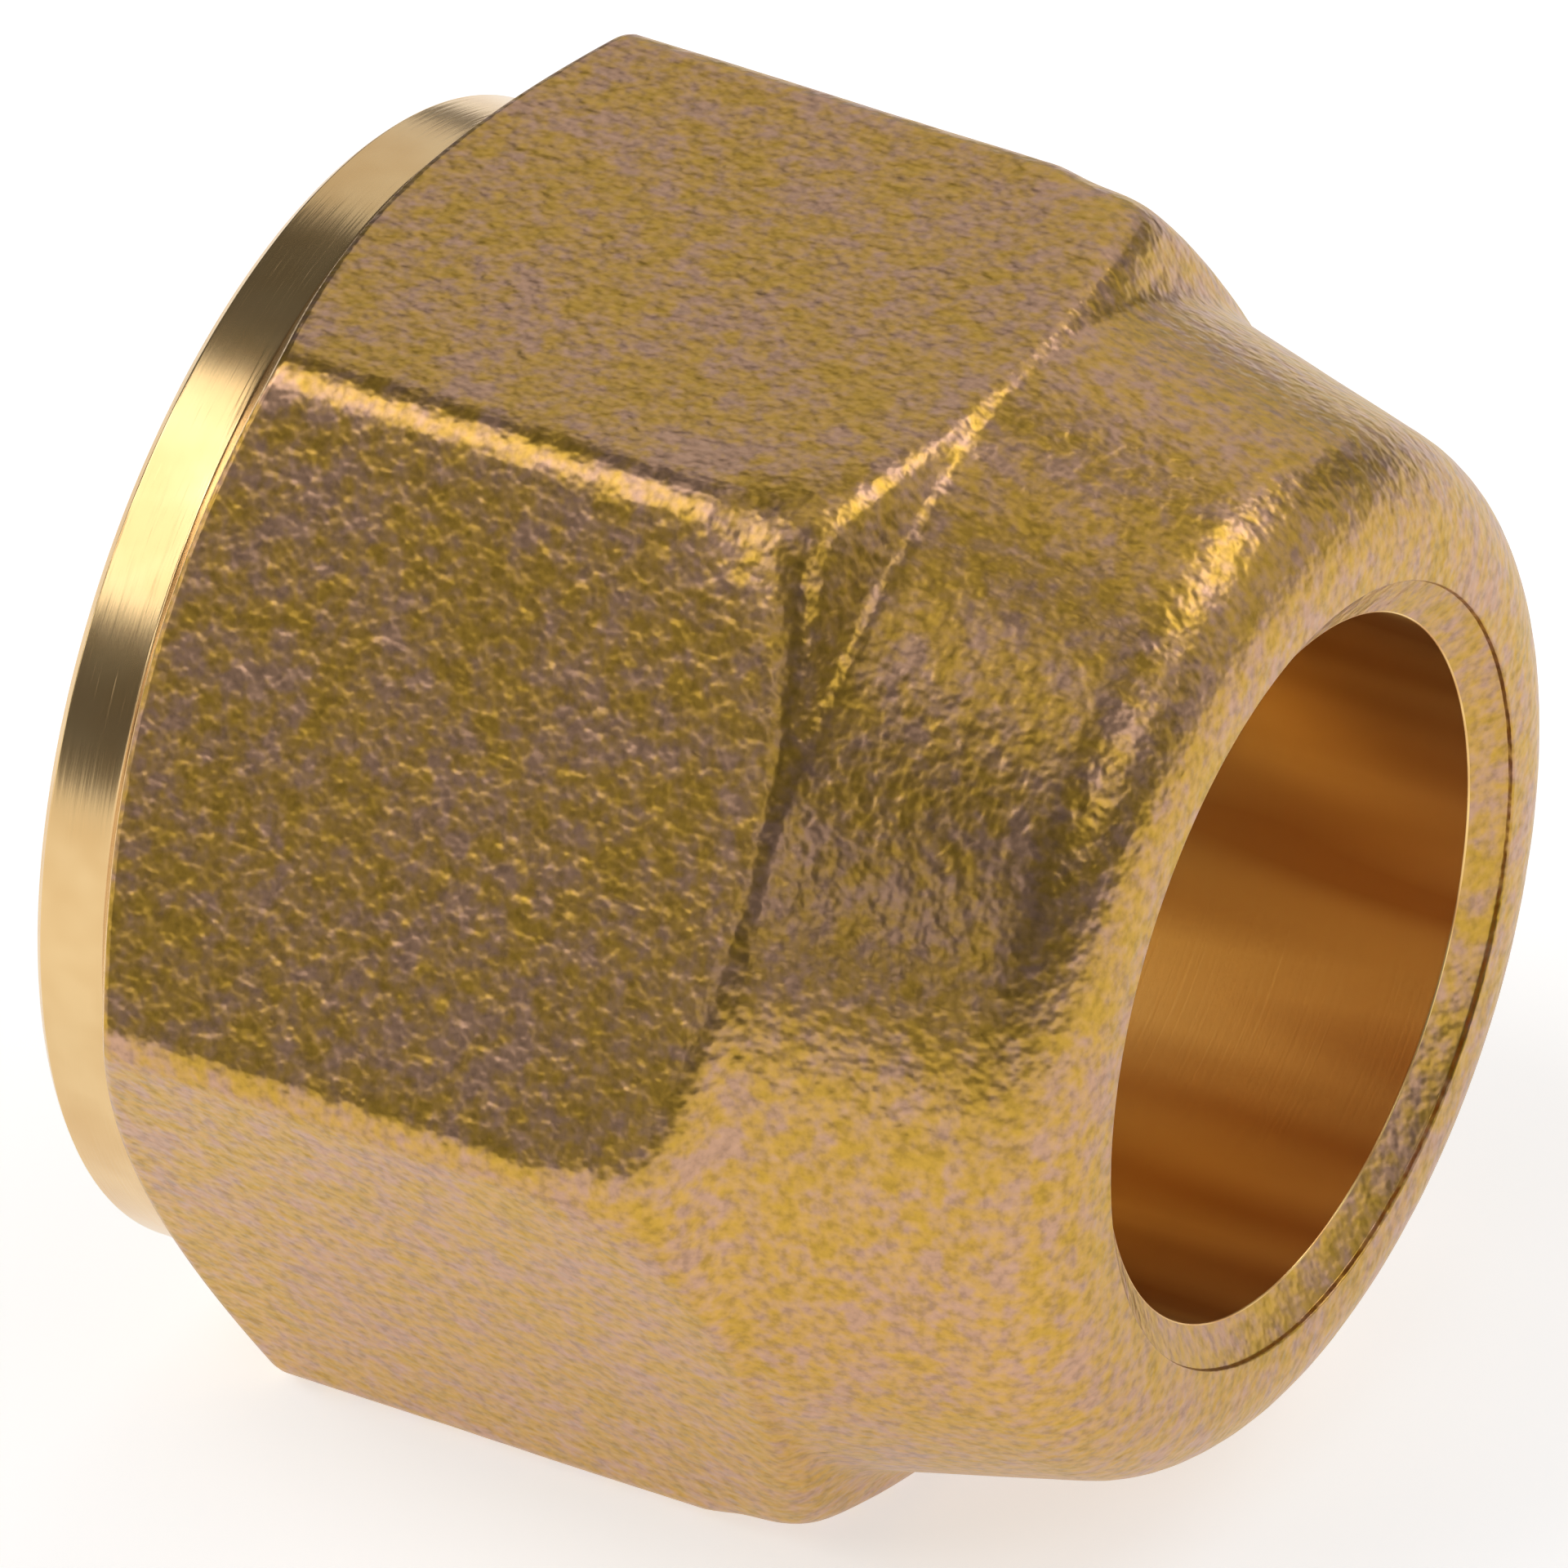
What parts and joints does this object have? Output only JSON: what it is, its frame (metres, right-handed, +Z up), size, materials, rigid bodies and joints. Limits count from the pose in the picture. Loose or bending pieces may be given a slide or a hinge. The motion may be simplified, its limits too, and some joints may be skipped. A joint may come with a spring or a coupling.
{
  "type": "union nut",
  "caption": "Forged brass hexagon nut with a turned collar, an internal thread, a cone seat and a plain neck, which clamps a flared tube to its fitting.",
  "frame": {"origin": "middle of the thread end face, on the nut's axis", "axes": "+X along the nut's axis, from the thread end to the nose; +Z up, with the nut lying on the flat of the hexagon that faces -Z"},
  "size_m": [0.0248, 0.0308, 0.027],
  "materials": {
    "forged_brass": "matte, fine-grained forged skin; collar, end face and holes are machined bright"
  },
  "bodies": {
    "root": {"union_nut": "forged_brass"}
  },
  "joints": []
}
